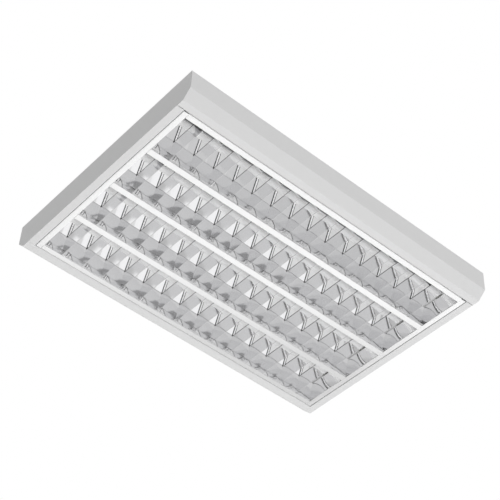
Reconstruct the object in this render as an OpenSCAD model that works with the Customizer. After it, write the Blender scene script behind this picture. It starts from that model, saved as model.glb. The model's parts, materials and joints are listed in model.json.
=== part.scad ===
// Surface-mounted ceiling light with four lamp rows under a hinged mirror louvre.
// Origin: centre of the ceiling face. +Z points up to the ceiling, X runs along the lamps.
// Sizes are in millimetres. Heights called h are counted upwards from the bottom plane.

/* [Lamps] */
// Length of a tube between the outer faces of its end caps
tube_l = 849; // [549, 849, 1149, 1449]
// Diameter of the frosted envelope
tube_d = 16; // [15.5:0.25:17]
// Wall of the envelope
tube_wall = 0.8; // [0.5:0.1:1.2]
// Length of an end cap
cap_l = 16; // [12:1:20]
// Wall of an end cap
cap_wall = 0.5; // [0.4:0.1:0.8]
// Thickness of the closed face of an end cap
cap_face = 2; // [1.5:0.5:3]
// Distance between the two pins of a cap
pin_pitch = 4.75; // [4.6:0.05:5.2]
// Diameter of a contact pin
pin_d = 2.35; // [2:0.05:2.6]
// Length of a pin outside the cap
pin_l = 7; // [6:0.5:7.5]
// Width of the circuit board inside a tube
board_w = 10; // [6:1:11]
// Thickness of the circuit board
board_t = 1; // [0.8:0.2:1.6]
// Distance between two light chips on the board
chip_pitch = 24; // [16:1:40]
// Thickness of the round boards at the ends of a tube
end_board_t = 1.6; // [1:0.2:2.4]
// Height of the space for the lamps over the louvre
lamp_space = 34; // [34:1:44]
// Distance from the ceiling face down to the axis of a tube
lamp_drop = 17; // [15:0.5:18]
// Space between the crown of a tube and the ridge of the reflector over it
ridge_gap = 1.4; // [1:0.1:3]
// Width of a ridge of the reflector
ridge_w = 12; // [8:1:16]

/* [Housing] */
// Height from the ceiling face to the bottom plane
body_h = 82; // [70:1:100]
// Space from the cap of a tube to the outer face of the housing's end
end_space = 46.5; // [36:0.5:60]
// Width of the lip at each end of the opening
end_lip = 19.5; // [18:0.5:26]
// Width of the lip along each long side of the opening
side_lip = 21; // [12:0.5:40]
// How far the bevel of the long sides leans in
bevel_in = 24; // [10:0.5:40]
// Height of the bevel of the long sides
bevel_h = 22.5; // [10:0.5:35]
// Thickness of the steel sheet
sheet_t = 0.8; // [0.6:0.1:1.2]
// Inner radius of a bend in the sheet
bend_r = 2; // [1:0.5:4]
// Height of the edge turned up around the opening
rim_h = 12; // [10:0.5:16]
// Depth of the weld tabs of an end plate
tab_depth = 12; // [8:1:16]

/* [Ceiling fixing] */
// Distance of the mounting slots from the ends of the housing
slot_inset = 121; // [60:1:180]
// Distance between the two lines of slots
slot_line_gap = 277; // [250:1:300]
// Width of a slot
slot_w = 6; // [4.5:0.5:8]
// Length of a slot from end to end
slot_l = 14; // [10:1:24]
// Bore of the cable bush
bush_bore = 12; // [8:0.5:14]
// Distance of the cable bush and the earth terminal from the middle of the housing
bush_x = 70; // [50:1:120]

/* [Louvre] */
// Clear width of one row at the bottom
aperture_w = 122; // [100:1:150]
// Width of the flat strips between the rows
strip_w = 16.5; // [12:0.5:24]
// Width of the flat strips along the outer rows
edge_strip = 13.75; // [10:0.25:20]
// Width of the flat strips across the ends
end_strip = 14; // [11.5:0.5:20]
// Gap between the louvre and the opening
louvre_gap = 2.5; // [2:0.1:4]
// How far the long mirrors lean in over a row at their top
mirror_lean = 17.5; // [8:0.5:28]
// Power of the mirrors' curve, 2 is a parabola
mirror_power = 2; // [1.2:0.1:3]
// Thickness of the louvre's aluminium sheet
foil_t = 0.5; // [0.4:0.1:0.8]
// Height of the outer edge of the louvre
louvre_rim_h = 14; // [13:0.5:18]
// Distance from one cross blade to the next
cell_pitch = 59; // [40:1:80]
// Width of a cross blade at its lower edge
blade_edge = 1; // [0.9:0.1:3]
// Width of a cross blade at its top
blade_top = 7.4; // [3:0.2:12]
// Seam between the two edges folded in over a cross blade
blade_seam = 0.6; // [0.4:0.1:1.5]
// How far the end mirrors lean in at their top
end_lean = 6; // [2:0.5:12]

/* [Hinge and catches] */
// Height of the hinge axis above the bottom plane
hinge_h = 5; // [4:0.25:5.5]
// Distance of the hinge axis from the louvre's outer edge
hinge_in = 8; // [7:0.5:10]
// Diameter of a hinge pin
hinge_pin_d = 4; // [3:0.25:5]
// Width of a spring catch
catch_w = 16; // [10:1:30]
// Thickness of the spring strip
catch_t = 0.5; // [0.4:0.1:0.6]
// Distance between the two spring catches
catch_spacing = 520; // [300:10:520]

/* [Lampholders] */
// Width of a lampholder
holder_w = 22; // [20:1:26]
// Thickness of a lampholder along the lamp
holder_t = 14; // [13.5:0.5:18]
// Diameter of the turning rotor
rotor_d = 13; // [11:0.5:14]
// Thickness of the rotor
rotor_t = 8.5; // [8.5:0.25:9.5]

/* [Wiring] */
// Width of the wiring cover at the housing's top
cover_top_w = 90; // [70:1:96]
// Width of the wiring cover at its bottom
cover_low_w = 50; // [44:1:60]
// Height of the wiring cover
cover_h = 28; // [24:1:30]
// Diameter of the lamp wiring
wire_d = 4; // [3:0.25:4.5]

/* [Hidden] */
$fn = 48;

// A cut goes this far past the face that it opens
cut_over = 0.5;
// Gap between pieces that slide or turn on each other
running_gap = 0.05;
// Gap between pieces that are pushed together by hand
fit_gap = 0.1;
// Straight steps in a sheet bend and in a mirror curve
bend_steps = 4;
curve_steps = 8;
// A path turns less than this inside a curve and more at a bend
bend_angle = 20;

// Rows of lamps and the places that follow from the sizes above
row_count = 4;
row_pitch = aperture_w + strip_w;
function row_y(row) = (row - (row_count + 1) / 2) * row_pitch;
louvre_w = row_count * aperture_w + (row_count - 1) * strip_w + 2 * edge_strip;
opening_w = louvre_w + 2 * louvre_gap;
body_w = opening_w + 2 * (side_lip + bevel_in);
body_l = tube_l + 2 * end_space;
opening_l = body_l - 2 * end_lip;
louvre_l = opening_l - 2 * louvre_gap;
inner_l = louvre_l - 2 * end_strip;
blade_count = floor(inner_l / cell_pitch);
louvre_h = body_h - lamp_space;

// Lamp axis
lamp_z = -lamp_drop;
cap_x = tube_l / 2;
cap_r = tube_d / 2 + fit_gap / 2 + cap_wall;

// Lampholders stand a little clear of the caps
holder_gap = 0.7;
holder_x = cap_x + holder_gap;
holder_back_x = holder_x + holder_t;
foot_over = 3.5;
foot_t = 2.2;
peg_d = 4;
peg_y = holder_w / 2 + foot_over - peg_d / 2 - 1;
rotor_floor = 1.5;
rotor_slot_w = pin_d + 0.3;
entry_slot_w = pin_d + 0.6;

// Hinge axis and bracket
hinge_y = louvre_w / 2 - hinge_in;
hinge_z = -body_h + hinge_h;
bracket_t = 1.5;
bracket_w = 22;
bracket_h = 16;
bracket_foot = 10;
hinge_hole_clear = 1.5;
hinge_head_d = 7;
hinge_head_t = 2;

// Lamp reflector
reflector_end_gap = 2;
reflector_louvre_gap = 1;
reflector_l = 2 * (holder_x - reflector_end_gap);

// Wiring
wire_z = -10;
wire_x = (holder_back_x + body_l / 2 - sheet_t) / 2;
wire_plug = 3;
cover_flange = 9;
cover_l = reflector_l;
cover_screw_x = cover_l / 2 - 30;

// Sheet-metal screws of the cover and of the reflector
screw_d = 3.8;
screw_head_d = 7;
screw_head_t = 2;
screw_slot_w = 1;

// Terminal block
block_l = 20;
block_pole_w = 12;
block_h = 15;
poles = 3;

// One plane of the sheet work
function unit(v) = v / norm(v);
function left_of(v) = [-v[1], v[0]];
function reversed(list) = [for (i = [len(list) - 1:-1:0]) list[i]];
function mirrored(list) = [for (p = list) [-p[0], p[1]]];

// Point i of a path moved by d to the left of its direction
function moved_point(p, i, d) =
    i == 0 ? p[0] + d * left_of(unit(p[1] - p[0])) :
    i == len(p) - 1 ? p[i] + d * left_of(unit(p[i] - p[i - 1])) :
    let (a = left_of(unit(p[i] - p[i - 1])),
         b = left_of(unit(p[i + 1] - p[i])),
         m = unit(a + b))
    p[i] + m * d / (m * a);
function moved_path(p, d) = [for (i = [0:len(p) - 1]) moved_point(p, i, d)];

// Angle by which a path turns at point i, positive to the left
function turn_at(p, i) =
    let (a = p[i] - p[i - 1], b = p[i + 1] - p[i])
    atan2(cross(a, b), a * b);

// Round corner of radius r at b, between the points a and c
function corner_arc(a, b, c, r) =
    let (u = unit(a - b),
         w = unit(c - b),
         half = acos(u * w) / 2,
         centre = b + unit(u + w) * r / sin(half),
         start = b + u * r / tan(half) - centre,
         end = b + w * r / tan(half) - centre,
         from = atan2(start[1], start[0]),
         raw = atan2(end[1], end[0]) - from,
         sweep = raw > 180 ? raw - 360 : raw < -180 ? raw + 360 : raw)
    [for (k = [0:bend_steps]) centre + r * [cos(from + sweep * k / bend_steps), sin(from + sweep * k / bend_steps)]];

// A path with its bends rounded: the radius is r on the inside and r + t on the outside of the sheet
function rounded_path(p, r, t, side) = [
    p[0],
    for (i = [1:len(p) - 2])
        each abs(turn_at(p, i)) < bend_angle ? [p[i]] :
            corner_arc(p[i - 1], p[i], p[i + 1], turn_at(p, i) * side > 0 ? r + t : r),
    p[len(p) - 1]];

// Outline of a bent sheet: its visible face follows path p, its thickness t lies on the left (side 1) or right (side -1)
function sheet_outline(p, t, r, side) =
    concat(rounded_path(p, r, t, side), reversed(rounded_path(moved_path(p, side * t), r, t, -side)));

// A flat outline of Y and Z, drawn out along X, and one of X and Z, drawn out along Y
module along_x(length) rotate([90, 0, 90]) linear_extrude(length, center = true) children();
module along_y(length) rotate([90, 0, 0]) linear_extrude(length, center = true) children();
// A round bar along X from x0 to x1
module bar_x(d, x0, x1) translate([x0, 0, 0]) rotate([0, 90, 0]) cylinder(d = d, h = x1 - x0);
// The same piece at the left end
module at_left() mirror([1, 0, 0]) children();
// One child at each end
module at_both_ends() {
    children();
    mirror([1, 0, 0]) children();
}

// Housing

// Right half of the housing's section, from the ceiling face down to the turned-up rim
housing_half = [
    [body_w / 2, 0],
    [body_w / 2, -body_h + bevel_h],
    [body_w / 2 - bevel_in, -body_h],
    [opening_w / 2, -body_h],
    [opening_w / 2, -body_h + rim_h]];

module peg_holes() {
    for (side = [-1, 1], row = [1:row_count], peg = [-1, 1])
        translate([side * (holder_x + holder_t / 2), row_y(row) + peg * peg_y, -sheet_t - cut_over])
            cylinder(d = peg_d + 2 * fit_gap, h = sheet_t + 2 * cut_over);
}

module slot_places() {
    slot_x = body_l / 2 - slot_inset;
    for (x = [-slot_x, slot_x], y = [-slot_line_gap / 2, slot_line_gap / 2]) translate([x, y, 0]) children();
}

module mounting_slots() slot_places() translate([0, 0, -sheet_t - cut_over])
    linear_extrude(sheet_t + 2 * cut_over) union() {
        square([slot_l - slot_w, slot_w], center = true);
        for (end = [-1, 1]) translate([end * (slot_l - slot_w) / 2, 0]) circle(d = slot_w);
    }

module cover_screw_places() {
    for (x = [-cover_screw_x, cover_screw_x], y = [-1, 1])
        translate([x, y * (cover_top_w + cover_flange) / 2, 0]) children();
}

module housing_body() color("white") difference() {
    along_x(body_l - 2 * sheet_t)
        polygon(sheet_outline(concat(reversed(mirrored(housing_half)), housing_half), sheet_t, bend_r, -1));
    mounting_slots();
    peg_holes();
    translate([-bush_x, bush_y, -sheet_t - cut_over])
        cylinder(d = bush_collar_d + 2 * fit_gap, h = sheet_t + 2 * cut_over);
    cover_screw_places() screw_hole();
    reflector_screw_places() screw_hole();
}
module screw_hole() translate([0, 0, -sheet_t - cut_over]) cylinder(d = screw_d + 2 * fit_gap, h = sheet_t + 2 * cut_over);

// End plates follow the section of the housing and carry the end lip, its rim and the weld tabs
module end_plate() color("white") difference() {
    union() {
        translate([body_l / 2 - sheet_t / 2, 0, 0]) along_x(sheet_t) polygon(
            rounded_path(concat([[0, 0]], [for (i = [0:3]) housing_half[i]],
                reversed([for (i = [0:3]) mirrored(housing_half)[i]]), [[0, 0]]), bend_r, sheet_t, -1));
        translate([body_l / 2 - end_lip, 0, -body_h]) {
            translate([0, -opening_w / 2 + fit_gap, 0]) cube([end_lip - sheet_t / 2, opening_w - 2 * fit_gap, sheet_t]);
            translate([0, -opening_w / 2 + fit_gap, 0]) cube([sheet_t, opening_w - 2 * fit_gap, rim_h]);
        }
        for (y = [-row_pitch, 0, row_pitch]) translate([body_l / 2 - tab_depth, y - tab_w / 2, -2 * sheet_t])
            cube([tab_depth - sheet_t / 2, tab_w, sheet_t]);
        for (side = [-1, 1]) translate([body_l / 2 - tab_depth,
                side * (body_w / 2 - 1.5 * sheet_t) - sheet_t / 2, -body_h + bevel_h + tab_from_bend])
            cube([tab_depth - sheet_t / 2, sheet_t, wall_tab_h]);
    }
    translate([body_l / 2 - end_lip - cut_over, hinge_y, hinge_z])
        bar_x(hinge_pin_d + 2 * hinge_hole_clear, 0, sheet_t + 2 * cut_over);
}
tab_w = 60;
tab_from_bend = 8;
wall_tab_h = body_h - bevel_h - 2 * tab_from_bend - 2 * sheet_t;

module end_plate_right() end_plate();
module end_plate_left() at_left() end_plate();

// Plate welded behind the end rim: its bore carries the hinge pin
module hinge_bracket() color("gainsboro") {
    bracket_x = body_l / 2 - end_lip + sheet_t;
    bracket_y = opening_w / 2 - fit_gap - bracket_w;
    difference() {
        translate([bracket_x, bracket_y, -body_h + sheet_t]) {
            cube([bracket_t, bracket_w, bracket_h]);
            cube([bracket_t + bracket_foot, bracket_w, bracket_t]);
        }
        translate([bracket_x - cut_over, hinge_y, hinge_z])
            bar_x(hinge_pin_d + 2 * running_gap, 0, bracket_t + 2 * cut_over);
    }
}
module hinge_bracket_right() hinge_bracket();
module hinge_bracket_left() at_left() hinge_bracket();

// Rotary lampholder for a tube with two pins, with its foot pegged into the housing's top
module lampholder(row) color("whitesmoke") translate([0, row_y(row), lamp_z]) difference() {
    union() {
        bar_x(holder_w, holder_x, holder_back_x);
        translate([holder_x, -holder_w / 2, 0]) cube([holder_t, holder_w, -lamp_z - sheet_t]);
        translate([holder_x, -holder_w / 2 - foot_over, -lamp_z - sheet_t - foot_t])
            cube([holder_t, holder_w + 2 * foot_over, foot_t]);
        for (peg = [-1, 1]) translate([holder_x + holder_t / 2, peg * peg_y, -lamp_z - sheet_t - foot_t / 2])
            cylinder(d = peg_d, h = foot_t / 2 + sheet_t);
    }
    bar_x(rotor_d + 4 * running_gap, holder_x - cut_over, holder_x + rotor_t + 2 * fit_gap);
    translate([holder_x - cut_over, -entry_slot_w / 2, -holder_w])
        cube([rotor_t + cut_over, entry_slot_w, holder_w]);
    for (y = [-1, 1] * pin_pitch / 2) translate([0, y, wire_z - lamp_z])
        bar_x(wire_d / 2 + 2 * fit_gap, holder_back_x - wire_plug - fit_gap, holder_back_x + cut_over);
}
module lampholder_left(row) at_left() lampholder(row);

// Reflector over the lamps, folded from one sheet, with holes in its valleys for a driver to reach the ceiling screws
reflector_bend_r = 1;
reflector_lip = 6;
valley_y = aperture_w / 2 - mirror_lean;
valley_z = -lamp_space + reflector_louvre_gap;
ridge_z = lamp_z + tube_d / 2 + ridge_gap;
reflector_row = [
    [-valley_y, valley_z],
    [-ridge_w / 2, ridge_z],
    [-ridge_w / 2, -sheet_t - foil_t],
    [ridge_w / 2, -sheet_t - foil_t],
    [ridge_w / 2, ridge_z],
    [valley_y, valley_z]];
module lamp_reflector() color("gainsboro") difference() {
    along_x(reflector_l) polygon(sheet_outline(concat(
        [[row_y(1) - valley_y - reflector_lip, valley_z]],
        [for (row = [1:row_count]) each [for (p = reflector_row) p + [row_y(row), 0]]],
        [[row_y(row_count) + valley_y + reflector_lip, valley_z]]), foil_t, reflector_bend_r, 1));
    slot_places() translate([0, 0, valley_z - cut_over]) cylinder(d = access_d, h = foil_t + 2 * cut_over);
    reflector_screw_places() translate([0, 0, -sheet_t - foil_t - cut_over])
        cylinder(d = screw_d + 2 * fit_gap, h = foil_t + 2 * cut_over);
}
access_d = 22;

module reflector_screw_places() {
    for (x = [-reflector_l, reflector_l] / 3, row = [1:row_count]) translate([x, row_y(row), 0]) children();
}

module reflector_screws() color("silver") reflector_screw_places() screw(sheet_t + foil_t);

// Wiring cover, a folded channel screwed under the housing's top
module wiring_cover() color("white") difference() {
    along_x(cover_l) polygon(sheet_outline([
        [-cover_top_w / 2 - cover_flange, -2 * sheet_t],
        [-cover_top_w / 2, -2 * sheet_t],
        [-cover_low_w / 2, -sheet_t - cover_h],
        [cover_low_w / 2, -sheet_t - cover_h],
        [cover_top_w / 2, -2 * sheet_t],
        [cover_top_w / 2 + cover_flange, -2 * sheet_t]], sheet_t, bend_r / 2, 1));
    cover_screw_places() translate([0, 0, -2 * sheet_t - cut_over])
        cylinder(d = screw_d + 2 * fit_gap, h = sheet_t + 2 * cut_over);
}

// Sheet-metal screw from below, through sheets of this thickness up to the ceiling face
module screw(grip) translate([0, 0, -grip]) {
    translate([0, 0, -screw_head_t]) difference() {
        cylinder(d = screw_head_d, h = screw_head_t);
        translate([-screw_head_d / 2, -screw_slot_w / 2, -cut_over])
            cube([screw_head_d, screw_slot_w, cut_over + screw_head_t / 2]);
    }
    cylinder(d = screw_d, h = grip - fit_gap);
}

module cover_screws() color("silver") cover_screw_places() screw(2 * sheet_t);

// Terminal block with a screw and a wire hole through each pole
module terminal_block() color("ivory") difference() {
    union() {
        translate([-block_l / 2, -poles * block_pole_w / 2, -sheet_t - block_h / 2])
            cube([block_l, poles * block_pole_w, block_h / 2]);
        for (pole = [0:poles - 1])
            translate([0, (pole - (poles - 1) / 2) * block_pole_w, -sheet_t - block_h / 2])
                along_x(block_l) intersection() {
                    translate([-block_pole_w / 2 + 1, -block_h / 2]) square([block_pole_w - 2, block_h / 2 + 1]);
                    circle(d = block_pole_w + 3);
                }
    }
    for (pole = [0:poles - 1]) translate([0, (pole - (poles - 1) / 2) * block_pole_w, 0]) {
        translate([0, 0, wire_z]) bar_x(wire_d + 2 * fit_gap, -block_l / 2 - cut_over, block_l / 2 + cut_over);
        for (x = [-1, 1] * block_l / 4) translate([x, 0, -block_h - 2 * cut_over])
            cylinder(d = 3.5, h = block_h / 4);
    }
}

// Snap bush in the cable hole: its flange lies under the sheet and its collar ends flush with the ceiling face
bush_collar_d = bush_bore + 6;
bush_flange_d = bush_collar_d + 6;
bush_flange_t = 2;
bush_l = 10;
bush_y = bush_flange_d / 2 + wire_d / 2 + 1;
module cable_bush() color("dimgray") translate([-bush_x, bush_y, 0]) rotate_extrude() polygon([
    [bush_bore / 2, 0],
    [bush_collar_d / 2, 0],
    [bush_collar_d / 2, -sheet_t],
    [bush_flange_d / 2, -sheet_t],
    [bush_flange_d / 2, -sheet_t - bush_flange_t],
    [bush_collar_d / 2, -sheet_t - bush_flange_t],
    [bush_collar_d / 2 - 1, -bush_l],
    [bush_bore / 2, -bush_l]]);

// Earth stud welded to the housing's top, with washer and nut
earth_stud_d = 5;
earth_stud_l = 14;
nut_af = 8;
module earth_terminal() color("goldenrod") translate([bush_x, -cover_low_w / 3, -sheet_t]) {
    translate([0, 0, -earth_stud_l]) cylinder(d = earth_stud_d, h = earth_stud_l);
    translate([0, 0, -1]) cylinder(d = 2 * earth_stud_d, h = 1);
    translate([0, 0, -5]) cylinder(d = nut_af / cos(30), h = 4, $fn = 6);
}

// Lamp wiring of one end: a run from the terminal block, and a crossing behind the lampholders with a branch to each
module wiring() color("white") translate([0, 0, wire_z]) {
    bar_x(wire_d, block_l / 2 - wire_plug, wire_x);
    translate([wire_x, row_y(1) - pin_pitch / 2, 0]) rotate([-90, 0, 0])
        cylinder(d = wire_d, h = row_y(row_count) - row_y(1) + pin_pitch);
    for (row = [1:row_count], y = [-1, 1] * pin_pitch / 2) translate([0, row_y(row) + y, 0])
        bar_x(wire_d / 2, holder_back_x - wire_plug, wire_x);
    for (row = [1, row_count]) translate([wire_x, row_y(row) + (row == 1 ? -1 : 1) * pin_pitch / 2, 0])
        sphere(d = wire_d);
}
module wiring_right() wiring();
module wiring_left() at_left() wiring();

// Louvre

// Width that a long mirror has taken from its row at height h
function lean_at(h) = mirror_lean * pow(h / louvre_h, mirror_power);
curve_heights = [for (k = [1:curve_steps]) louvre_h * k / curve_steps];
// Section of one long mirror from its foot upwards, with its foot at y and leaning towards the sign
function mirror_wall(y, sign) = [for (h = curve_heights) [y + sign * lean_at(h), h]];
// Clear section of a row, reduced by the gap
function row_section(gap) = concat(
    [[aperture_w / 2 - gap, -cut_over]],
    [for (h = concat([0], curve_heights)) [aperture_w / 2 - gap - lean_at(h), h]],
    [for (h = reversed(concat([0], curve_heights))) [-aperture_w / 2 + gap + lean_at(h), h]],
    [[-aperture_w / 2 + gap, -cut_over]]);
louvre_bend_r = 0.6;
mirror_l = inner_l - 2 * fit_gap;

// Mirror along a long side: outer rim, flat strip and curved wall bent from one sheet
module side_reflector() color("gainsboro") difference() {
    translate([0, 0, -body_h]) along_x(mirror_l) polygon(sheet_outline(concat(
        [[-louvre_w / 2, louvre_rim_h], [-louvre_w / 2, 0], [-louvre_w / 2 + edge_strip, 0]],
        mirror_wall(-louvre_w / 2 + edge_strip, 1)), foil_t, louvre_bend_r, 1));
    catch_rivet_places() rotate([-90, 0, 0]) cylinder(d = catch_rivet_d + fit_gap, h = 4, center = true);
}
module side_reflector_front() side_reflector();
module side_reflector_back() color("gainsboro") mirror([0, 1, 0]) translate([0, 0, -body_h]) along_x(mirror_l)
    polygon(sheet_outline(concat(
        [[-louvre_w / 2, louvre_rim_h], [-louvre_w / 2, 0], [-louvre_w / 2 + edge_strip, 0]],
        mirror_wall(-louvre_w / 2 + edge_strip, 1)), foil_t, louvre_bend_r, 1));

// Double mirror between two rows, bent from one sheet and open at the top
module divider(place) color("gainsboro") translate([0, place * row_pitch, -body_h]) along_x(mirror_l)
    polygon(sheet_outline(concat(
        reversed(mirror_wall(-strip_w / 2, -1)),
        [[-strip_w / 2, 0], [strip_w / 2, 0]],
        mirror_wall(strip_w / 2, 1)), foil_t, louvre_bend_r, 1));

// Half width of a cross blade at height h
function blade_half(h) = blade_edge / 2 + (blade_top - blade_edge) / 2 * pow(h / louvre_h, mirror_power);
blade_wall = [for (h = curve_heights) [blade_half(h), h], [blade_seam / 2, louvre_h]];
blade_path = concat(reversed(mirrored(blade_wall)), [[-blade_edge / 2, 0], [blade_edge / 2, 0]], blade_wall);

// Cross blades of one row, each a folded V with its edges turned in over the top, from mirror to mirror
module cross_blades(row) color("gainsboro") translate([0, row_y(row), -body_h])
    for (i = [0:blade_count - 1]) intersection() {
        translate([(i - (blade_count - 1) / 2) * cell_pitch, 0, 0])
            along_y(aperture_w) polygon(sheet_outline(blade_path, blade_t, blade_bend_r, 1));
        along_x(inner_l) polygon(row_section(fit_gap));
    }
blade_t = 0.3;
blade_bend_r = 0.1;

// Mirrors across the ends of the rows, with the end strip and the outer rim
module end_reflector() color("gainsboro") difference() {
    translate([0, 0, -body_h]) {
        along_y(louvre_w) polygon(sheet_outline([
            [louvre_l / 2, louvre_rim_h], [louvre_l / 2, 0], [inner_l / 2, 0], [inner_l / 2, end_fold_h]],
            foil_t, louvre_bend_r, -1));
        for (row = [1:row_count]) translate([0, row_y(row), 0]) intersection() {
            along_y(aperture_w) polygon(sheet_outline(concat([[inner_l / 2, end_fold_h - foil_t]],
                [for (h = curve_heights) if (h > end_fold_h)
                    [inner_l / 2 - end_lean * pow((h - end_fold_h) / (louvre_h - end_fold_h), mirror_power), h]]),
                foil_t, louvre_bend_r, -1));
            along_x(2 * louvre_l) polygon(row_section(fit_gap));
        }
    }
    translate([louvre_l / 2 - 2 * foil_t, hinge_y, hinge_z])
        bar_x(hinge_pin_d + 2 * running_gap, 0, 3 * foil_t);
}
end_fold_h = 3;
module end_reflector_right() end_reflector();
module end_reflector_left() at_left() end_reflector();

// Headed hinge pins that stand out of the louvre's ends into the brackets
module hinge_pins() color("silver") at_both_ends() translate([0, hinge_y, hinge_z]) {
    bar_x(hinge_head_d, louvre_l / 2 - foil_t - hinge_head_t, louvre_l / 2 - foil_t);
    bar_x(hinge_pin_d, louvre_l / 2 - foil_t - hinge_head_t, body_l / 2 - end_lip + sheet_t + bracket_t + 1);
}

// Spring catches: a strip riveted inside the louvre's rim reaches over it and hooks behind the rim of the opening
catch_foot_h = 3;
catch_over = 1.2;
catch_hook_drop = 5;
catch_rivet_d = 3;
catch_rivet_h = 7;
catch_hook_y = opening_w / 2 + sheet_t + 2;
catch_path = [
    [-louvre_w / 2 + foil_t, catch_foot_h],
    [-louvre_w / 2 + foil_t, louvre_rim_h + catch_over],
    [-louvre_w / 2 - 0.8, louvre_rim_h + catch_over],
    [-catch_hook_y - 0.6, louvre_rim_h + catch_over - catch_hook_drop],
    [-catch_hook_y - 3.2, louvre_rim_h + catch_over - catch_hook_drop + 3]];
module catch_rivet_places() {
    for (side = [-1, 1], end = [-1, 1])
        translate([side * catch_spacing / 2 + end * catch_w / 4, -louvre_w / 2 + foil_t / 2, -body_h + catch_rivet_h])
            children();
}
module catch_springs() color("lightsteelblue") difference() {
    for (side = [-1, 1]) translate([side * catch_spacing / 2, 0, -body_h]) along_x(catch_w)
        polygon(sheet_outline(catch_path, catch_t, catch_t / 2, -1));
    catch_rivet_places() rotate([-90, 0, 0]) cylinder(d = catch_rivet_d + fit_gap, h = 4, center = true);
}
module catch_rivets() color("silver") catch_rivet_places() rotate([-90, 0, 0]) {
    cylinder(d = catch_rivet_d, h = foil_t + 2 * catch_t + 1, center = true);
    translate([0, 0, foil_t / 2 + catch_t]) cylinder(d = catch_rivet_d + 2, h = 1);
    translate([0, 0, -foil_t / 2 - 0.8]) cylinder(d = catch_rivet_d + 2, h = 0.8);
}

// Lamps
module at_lamp(row) translate([0, row_y(row), lamp_z]) children();

module tube(row) color("white") at_lamp(row) difference() {
    bar_x(tube_d, -cap_x + cap_face + fit_gap, cap_x - cap_face - fit_gap);
    bar_x(tube_d - 2 * tube_wall, -cap_x, cap_x);
}

// Light board under the tube's crown, with a driver block and a round end board inside each cap
board_z = sqrt(pow(tube_d / 2 - tube_wall, 2) - pow(board_w / 2, 2)) - fit_gap;
end_board_gap = 2;
end_board_x = cap_x - cap_face - end_board_gap - end_board_t;
lit_l = tube_l - 2 * cap_l;
chip_l = 3.5;
chip_w = 2.8;
chip_t = 0.7;
driver_h = 2.4;
module led_board(row) color("honeydew") at_lamp(row) {
    chip_count = floor(lit_l / chip_pitch);
    translate([-end_board_x - end_board_t / 2, -board_w / 2, board_z - board_t])
        cube([2 * end_board_x + end_board_t, board_w, board_t]);
    for (i = [0:chip_count - 1])
        translate([(i - (chip_count - 1) / 2) * chip_pitch - chip_l / 2, -chip_w / 2, board_z - board_t - chip_t])
            cube([chip_l, chip_w, chip_t + board_t / 2]);
    at_both_ends() {
        translate([cap_x - cap_l + 1, 1 - board_w / 2, board_z - board_t - driver_h])
            cube([end_board_x - cap_x + cap_l, board_w - 2, driver_h + board_t / 2]);
        difference() {
            bar_x(tube_d - 2 * tube_wall - 1, end_board_x, end_board_x + end_board_t);
            for (y = [-1, 1] * pin_pitch / 2) translate([0, y, 0])
                bar_x(pin_d + 2 * running_gap, end_board_x - cut_over, end_board_x + end_board_t + cut_over);
        }
    }
}

module end_caps(row) color("silver") at_lamp(row) at_both_ends() difference() {
    bar_x(2 * cap_r, cap_x - cap_l, cap_x);
    bar_x(tube_d + fit_gap, cap_x - cap_l - cut_over, cap_x - cap_face);
    for (y = [-1, 1] * pin_pitch / 2) translate([0, y, 0])
        bar_x(pin_d + 2 * running_gap, cap_x - cap_face - cut_over, cap_x + cut_over);
}

module contact_pins(row) color("goldenrod") at_lamp(row) at_both_ends()
    for (y = [-1, 1] * pin_pitch / 2) translate([0, y, 0]) bar_x(pin_d, end_board_x - 0.5, cap_x + pin_l);

module rotor(row) color("white") at_lamp(row) difference() {
    bar_x(rotor_d, holder_x, holder_x + rotor_t);
    translate([holder_x - cut_over, -rotor_d, -rotor_slot_w / 2])
        cube([rotor_t - rotor_floor + cut_over, 2 * rotor_d, rotor_slot_w]);
}
module rotor_left(row) at_left() rotor(row);

housing_body();
end_plate_left();
end_plate_right();
hinge_bracket_left();
hinge_bracket_right();
lampholder_left(1);  // lampholder_1_left
lampholder(1);  // lampholder_1_right
lampholder_left(2);  // lampholder_2_left
lampholder(2);  // lampholder_2_right
lampholder_left(3);  // lampholder_3_left
lampholder(3);  // lampholder_3_right
lampholder_left(4);  // lampholder_4_left
lampholder(4);  // lampholder_4_right
lamp_reflector();
reflector_screws();
wiring_cover();
cover_screws();
terminal_block();
cable_bush();
earth_terminal();
wiring_left();
wiring_right();
side_reflector_front();
side_reflector_back();
end_reflector_left();
end_reflector_right();
divider(-1);  // divider_front
divider(0);  // divider_middle
divider(1);  // divider_back
cross_blades(1);  // cross_blades_row_1
cross_blades(2);  // cross_blades_row_2
cross_blades(3);  // cross_blades_row_3
cross_blades(4);  // cross_blades_row_4
hinge_pins();
catch_springs();
catch_rivets();
tube(1);  // tube_1
led_board(1);  // led_board_1
end_caps(1);  // end_caps_1
contact_pins(1);  // contact_pins_1
rotor_left(1);  // rotor_1_left
rotor(1);  // rotor_1_right
tube(2);  // tube_2
led_board(2);  // led_board_2
end_caps(2);  // end_caps_2
contact_pins(2);  // contact_pins_2
rotor_left(2);  // rotor_2_left
rotor(2);  // rotor_2_right
tube(3);  // tube_3
led_board(3);  // led_board_3
end_caps(3);  // end_caps_3
contact_pins(3);  // contact_pins_3
rotor_left(3);  // rotor_3_left
rotor(3);  // rotor_3_right
tube(4);  // tube_4
led_board(4);  // led_board_4
end_caps(4);  // end_caps_4
contact_pins(4);  // contact_pins_4
rotor_left(4);  // rotor_4_left
rotor(4);  // rotor_4_right
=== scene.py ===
"""Looks of a surface-mounted louvre ceiling light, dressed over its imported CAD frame.

The steel housing, the fittings and the small hardware keep their CAD solids and get their finishes here. The mirror
louvre and the glass of the lamps are modelled again, as smooth folded sheets and turned tubes in the same places.
"""

import json
import logging
import math
from dataclasses import dataclass, field
from enum import Enum
from typing import Mapping, Sequence

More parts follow.
